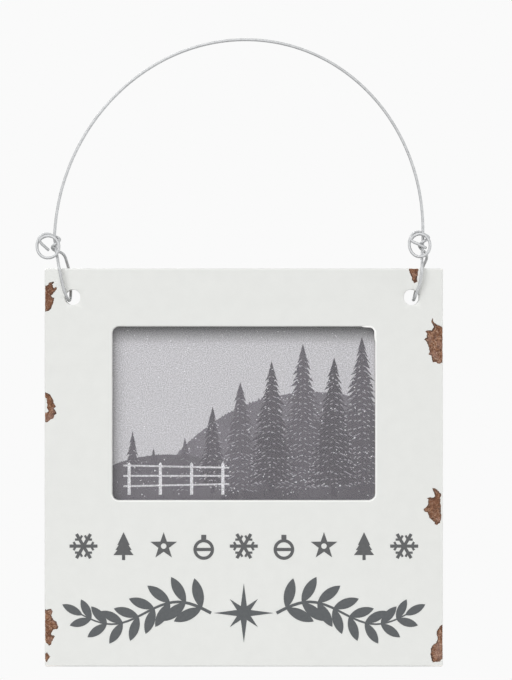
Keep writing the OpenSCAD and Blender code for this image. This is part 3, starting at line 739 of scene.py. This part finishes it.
hill_print = inked("print_hills", [(hill_outline(hill, 1 + i, wood_h), 1 + i, tone)
                                   for i, (hill, tone, wood_h) in enumerate(hills)])
fir_outlines, snow_fields = [], []
fir_draws, far_firs = random.Random(11), 4
for i, (fir, tone) in enumerate(firs):
    layer = 4 if i < far_firs else 5
    outline, laid = fir_fields(fir, fir_draws)
    fir_outlines.append((outline, layer, tone))
    snow_fields += [(field, layer + 0.5, 0.25) for field in laid]
fir_print = inked("print_firs", fir_outlines)
# A fence of three rails on posts, in mm about the card's middle
post_w, rail_w, fence_foot, fence_top = 0.9, 0.5, -23.5, -14.6
post_places = [-33.5, -24.5, -15.5, -6.5]
rail_levels = [-15.6, -18.3, -21]
for at in post_places:
    snow_fields.append(([(at, fence_foot), (at + post_w, fence_foot), (at + post_w, fence_top),
                         (at + post_w / 2, fence_top + 0.5), (at, fence_top)], 7, 0.9))
left, right = post_places[0] - 1.2, post_places[-1] + post_w + 1.4
for i, level in enumerate(rail_levels):
    at_left, at_right = level - 0.3 * (i - 1), level + 0.35 * (i - 1)
    snow_fields.append(([(left, at_left), (right, at_right), (right, at_right + rail_w),
                         (left, at_left + rail_w)], 6, 0.75))
snow_print = inked("print_snow", snow_fields)

# Falling snow is scattered over a plane in front of the rails.
flakes_per_m2, flake_r = 1.6e5, 0.2 * MM
upright = (math.radians(90), 0, 0)
flake_tree, given, made = new_scatter("snowfall", Number="Float", Seed="Int", Finish="Material")
sky = put_node(flake_tree, "GeometryNodeMeshGrid",
               {"Size X": 74 * MM, "Size Y": 48 * MM, "Vertices X": 2, "Vertices Y": 2}).outputs[0]
sky = put_node(flake_tree, "GeometryNodeTransform", {
    "Geometry": sky, "Translation": (card_mid.x, card_low.y - 6.6 * film_t, card_mid.z),
    "Rotation": upright}).outputs[0]
points = put_node(flake_tree, "GeometryNodeDistributePointsOnFaces",
                  {"Mesh": sky, "Density": given["Number"], "Seed": given["Seed"]}).outputs
flake = put_node(flake_tree, "GeometryNodeMeshCylinder",
                 {"Vertices": 7, "Radius": flake_r, "Depth": film_t * 0.8}, fill_type="NGON").outputs[0]
flakes = put_node(flake_tree, "GeometryNodeInstanceOnPoints",
                  {"Points": points["Points"], "Instance": flake, "Rotation": upright,
                   "Scale": drawn(flake_tree, (0.4, 0.4, 1), (1.3, 1.1, 1), 6)}).outputs[0]
lay_copies(flake_tree, given, made, flakes, "tone", drawn(flake_tree, 0.6, 1.0, 7))
scattered(snow_print, flake_tree, Number=flakes_per_m2, Seed=8, Finish=print_finish("snow_print", 120, 222))

# The card has no fields, so its tone is 0. Its sky darkens toward the window's top edge, a painted shadow
# under the window's lip.
pale_print = print_finish("pale_print", 192, 202)
tree = pale_print.node_tree
base = tree.nodes["Principled BSDF"].inputs["Base Color"]
place = put_node(tree, "ShaderNodeSeparateXYZ", {0: put_node(tree, "ShaderNodeTexCoord").outputs["Object"]})
sky_top = window_mid.z + window_h / 2
shade = ranged(tree, place.outputs["Z"], sky_top - 5 * MM, sky_top - 0.2 * MM, 1.0, 0.3)
tree.links.new(blended(tree, 1.0, base.links[0].from_socket, shade, "MULTIPLY"), base)
wear(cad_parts["insert_card"], pale_print)
wear(hill_print, print_finish("hill_print", 48, 106))
wear(fir_print, print_finish("fir_print", 34, 80))
for piece, node, slot in ((hill_print, "insert_hills", "print_mid"),
                          (fir_print, "insert_firs", "print_dark")):
    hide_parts(node)
    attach(piece, "frame")
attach(snow_print, "frame")

# Clear cover
# A sheet of clear acrylic lies in the pocket in front of the print, against the window's lip. Its
# faces are glossy and flat, and lamps light the print through it.
clear_sheet, shader, tree = new_finish("clear_acrylic", 0.03)
shader.inputs["Base Color"].default_value = colour_of(250, 252, 252)
shader.inputs["Transmission Weight"].default_value = 1.0
shader.inputs["IOR"].default_value = 1.49
shader.inputs["Specular IOR Level"].default_value = 0.25
through = put_node(tree, "ShaderNodeBsdfTransparent")
rays = put_node(tree, "ShaderNodeLightPath").outputs
lighting = put_node(tree, "ShaderNodeMath", {0: rays["Is Shadow Ray"], 1: rays["Is Diffuse Ray"]},
                    operation="MAXIMUM").outputs[0]
mixed = put_node(tree, "ShaderNodeMixShader", {0: lighting, 1: shader.outputs[0], 2: through.outputs[0]})
tree.links.new(mixed.outputs[0], tree.nodes["Material Output"].inputs["Surface"])
wear(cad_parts["clear_cover"], clear_sheet)

# Hardboard backing
# A sheet of dark hardboard closes the pocket behind the print. Its outer face carries the faint weave
# that the press screen left.
hardboard, shader, tree = new_finish("hardboard", 0.7)
fuzz = grain(tree, 1100, detail=6.0)
place = put_node(tree, "ShaderNodeTexCoord").outputs["Object"]
waves = [put_node(tree, "ShaderNodeTexWave",
                  {"Vector": place, "Scale": 260, "Distortion": 0.6, "Detail": 1.0},
                  bands_direction=axis).outputs["Fac"] for axis in ("X", "Z")]
weave = put_node(tree, "ShaderNodeMath", {0: waves[0], 1: waves[1]}, operation="MULTIPLY").outputs[0]
ground = tones(tree, fuzz, (0.3, (84, 59, 43)), (0.55, (107, 79, 61)), (0.75, (128, 98, 76)))
tree.links.new(blended(tree, ranged(tree, weave, 0.2, 0.9, 0.35, 0.0), ground, colour_of(70, 48, 35)),
               shader.inputs["Base Color"])
relief(tree, shader, weave, 0.06 * MM)
wear(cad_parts["backing_board"], hardboard)

# Turn buttons
# Four zinc-plated steel buttons are stamped from sheet, each with a thumb ridge pressed into its free
# end. Each turns on its own screw to let the backing out.


def merged(node):
    """A CAD node's mesh as a shape to work on, with its doubled corners merged"""
    shape = bmesh.new()
    shape.from_mesh(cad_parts[node].data)
    bmesh.ops.remove_doubles(shape, verts=shape.verts, dist=0.002 * MM)
    return shape


def softened(name, node, bevel):
    """A merged copy of a CAD node, with its edges softened"""
    shape = merged(node)
    bmesh.ops.dissolve_limit(shape, angle_limit=math.radians(1), verts=shape.verts, edges=shape.edges)
    piece = piece_of(name, shape)
    soft = piece.modifiers.new("softened", "BEVEL")
    soft.width, soft.segments, soft.limit_method, soft.angle_limit = bevel, 3, "ANGLE", math.radians(40)
    even = piece.modifiers.new("even", "WEIGHTED_NORMAL")
    even.keep_sharp = True
    piece.data.shade_smooth()
    return piece


zinc, shader, tree = new_finish("dull_zinc_plate", 0.42, 1.0)
clouds = grain(tree, 500, detail=6.0)
scuffs = grain(tree, 1600, stretch=(1, 1, 0.12), detail=4.0)
tree.links.new(tones(tree, clouds, (0.3, (172, 174, 176)), (0.7, (196, 197, 198))),
               shader.inputs["Base Color"])
tree.links.new(ranged(tree, scuffs, 0.3, 0.7, 0.3, 0.55), shader.inputs["Roughness"])
relief(tree, shader, scuffs, 0.02 * MM)
for i in range(1, 5):
    button = softened(f"button_{i}", f"turn_button_{i}", 0.14 * MM)
    wear(button, zinc)
    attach(button, f"button_{i}")
    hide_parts(f"turn_button_{i}")

# Screws
# A zinc-plated pan-head screw with a cross recess holds each button, driven into the fibreboard from
# behind.
plated, shader, tree = new_finish("bright_zinc_plate", 0.3, 1.0)
clouds = grain(tree, 1200, detail=5.0)
tree.links.new(tones(tree, clouds, (0.3, (182, 182, 178)), (0.7, (210, 210, 205))),
               shader.inputs["Base Color"])
relief(tree, shader, clouds, 0.012 * MM)
for i in range(1, 5):
    screw = softened(f"pan_screw_{i}", f"screw_{i}", 0.08 * MM)
    wear(screw, plated)
    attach(screw, "frame")
    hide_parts(f"screw_{i}")

# Wire bail
# One length of galvanised wire runs through both holes. Each end comes up behind the board, wraps
# once about the wire in front, and is curled into an open ring by hand.
wire_r = 0.425 * MM
shape = merged("wire_hanger")
bmesh.ops.join_triangles(shape, faces=shape.faces, angle_face_threshold=3.1, angle_shape_threshold=3.1)
shape.normal_update()
# Smoothing draws the ten-sided wire in to this share of its radius, so it is swelled by as much first.
smoothed = 0.951
for vert, normal in [(v, v.normal.copy()) for v in shape.verts]:
    vert.co += normal * wire_r * (1 / smoothed - 1)
wire = piece_of("bent_wire", shape)
finer = wire.modifiers.new("finer", "SUBSURF")
finer.levels = finer.render_levels = 1
wire.data.shade_smooth()
galvanised, shader, tree = new_finish("galvanised_wire", 0.6, 0.85)
spangle = grain(tree, 1400, detail=8.0, rough=0.65)
pits = grain(tree, 5000, detail=4.0)
tree.links.new(tones(tree, spangle, (0.32, (168, 169, 170)), (0.68, (197, 198, 199))),
               shader.inputs["Base Color"])
tree.links.new(ranged(tree, spangle, 0.3, 0.7, 0.6, 0.74), shader.inputs["Roughness"])
relief(tree, shader, pits, 0.015 * MM)
wear(wire, galvanised)
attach(wire, "hanger")
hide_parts("wire_hanger")

# Studio
# The ornament hangs before white, over a pale floor. A large soft lamp stands at the upper left, a
# weaker one lights the right side, and one lights the back.
floor_r, floor_level, floor_steps = 0.55, -0.3, 72
floor_mesh = bpy.data.meshes.new("floor")
floor_mesh.from_pydata([(floor_r * math.cos(a), floor_r * math.sin(a), floor_level)
                        for a in [2 * math.pi * i / floor_steps for i in range(floor_steps)]],
                       [], [list(range(floor_steps))])
floor = new_piece("floor", floor_mesh)
pale_floor, shader, tree = new_finish("pale_floor", 0.8)
shader.inputs["Base Color"].default_value = colour_of(220, 220, 220)


def in_view(tree, share):
    """A share for the camera's own rays, straight, mirrored or through clear sheet, and 0 for others"""
    seen = put_node(tree, "ShaderNodeLightPath").outputs
    direct = seen["Is Camera Ray"]
    for way in ("Is Glossy Ray", "Is Transmission Ray"):
        direct = put_node(tree, "ShaderNodeMath", {0: direct, 1: seen[way]}, operation="MAXIMUM").outputs[0]
    unscattered = ranged(tree, seen["Diffuse Depth"], 0.0, 1.0, share, 0.0)
    return put_node(tree, "ShaderNodeMath", {0: direct, 1: unscattered}, operation="MULTIPLY").outputs[0]


white = put_node(tree, "ShaderNodeEmission", {"Color": colour_of(250, 250, 250)})
mixed = put_node(tree, "ShaderNodeMixShader",
                 {0: in_view(tree, 0.7), 1: shader.outputs[0], 2: white.outputs[0]})
tree.links.new(mixed.outputs[0], tree.nodes["Material Output"].inputs["Surface"])
wear(floor, pale_floor)

world = bpy.data.worlds.new("studio")
bpy.context.scene.world = world
world.use_nodes = True
tree = world.node_tree
soft_light = tree.nodes["Background"]
soft_light.inputs["Color"].default_value = (1, 1, 1, 1)
soft_light.inputs["Strength"].default_value = 0.2
white = put_node(tree, "ShaderNodeBackground", {"Color": colour_of(250, 250, 250)})
mixed = put_node(tree, "ShaderNodeMixShader",
                 {0: in_view(tree, 1.0), 1: soft_light.outputs[0], 2: white.outputs[0]})
tree.links.new(mixed.outputs[0], tree.nodes["World Output"].inputs["Surface"])

middle = Vector((0, 0, -0.1))
for name, place, size, power in (
        ("key", (-1.3, -3.1, 2.2), 3.8, 166.0),
        ("side", (1.5, -0.12, -0.28), 0.7, 9.0),
        ("back", (-0.5, 1.2, 0.8), 0.8, 12.0)):
    lamp = bpy.data.lights.new(name, "AREA")
    lamp.size, lamp.energy = size, power
    stand = bpy.data.objects.new(name, lamp)
    stand.location = place
    stand.rotation_euler = (middle - Vector(place)).to_track_quat("-Z", "Y").to_euler()
    bpy.context.scene.collection.objects.link(stand)

# The camera looks straight at the board from a little right of its middle, and the picture takes in
# picture_h at the board's face.
picture_h, away = 195.1 * MM, 0.9
lens = bpy.data.cameras.new("camera")
lens.lens = lens.sensor_width * (away + paint_low.y) / picture_h
camera = bpy.data.objects.new("camera", lens)
camera.location = (3.5 * MM, -away, paint_high.z - 20.57 * MM)
camera.rotation_euler = (math.radians(90), 0, 0)
bpy.context.scene.collection.objects.link(camera)
bpy.context.scene.camera = camera
bpy.context.scene.view_settings.view_transform = "Standard"
